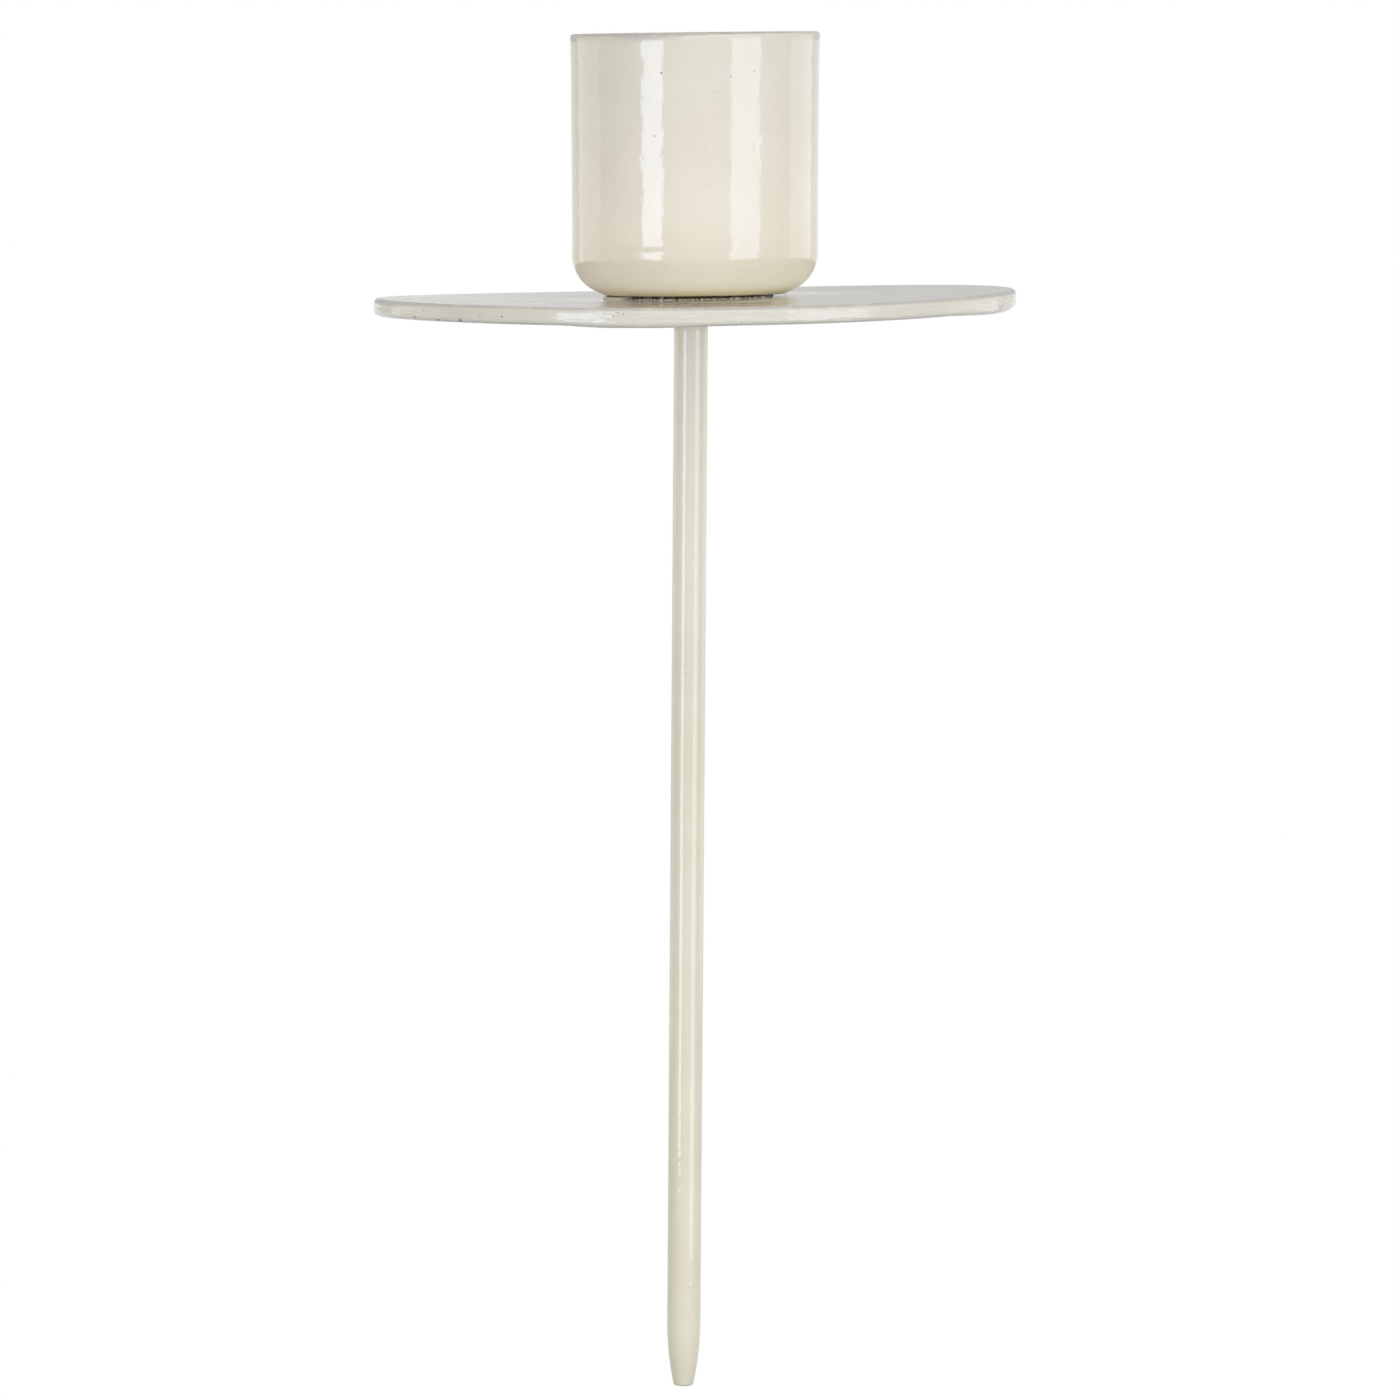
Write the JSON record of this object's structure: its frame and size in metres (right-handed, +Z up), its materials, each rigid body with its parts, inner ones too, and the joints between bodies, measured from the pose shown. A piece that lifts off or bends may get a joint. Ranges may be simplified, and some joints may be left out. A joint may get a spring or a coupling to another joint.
{
  "type": "spiked taper candle holder",
  "caption": "Spiked taper candle holder: an open cup for a dinner candle stands on a round drip plate, with a long wire spike below to push into a wreath or foam.",
  "frame": {"origin": "centre of the drip plate's underside, where the spike leaves it; that face comes to rest on whatever the spike is pushed into", "axes": "+Z up along the axis that the cup, plate and spike share; the holder is round about it, and the first of the hidden welds under the cup lies towards +Y"},
  "size_m": [0.0644, 0.0644, 0.1366],
  "materials": {
    "cup_enamel": "glossy cream enamel with a light orange peel",
    "plate_enamel": "glossy cream enamel, pinholed along the edge",
    "spike_enamel": "glossy cream enamel over drawn wire",
    "bead_enamel": "glossy cream enamel over a weld bead",
    "weld_steel": "dull squashed weld, out of the paint's reach"
  },
  "bodies": {
    "root": {"candle_cup": "cup_enamel", "drip_plate": "plate_enamel", "spike": "spike_enamel", "spike_weld": "bead_enamel", "cup_weld_1": "weld_steel", "cup_weld_2": "weld_steel", "cup_weld_3": "weld_steel"}
  },
  "joints": []
}
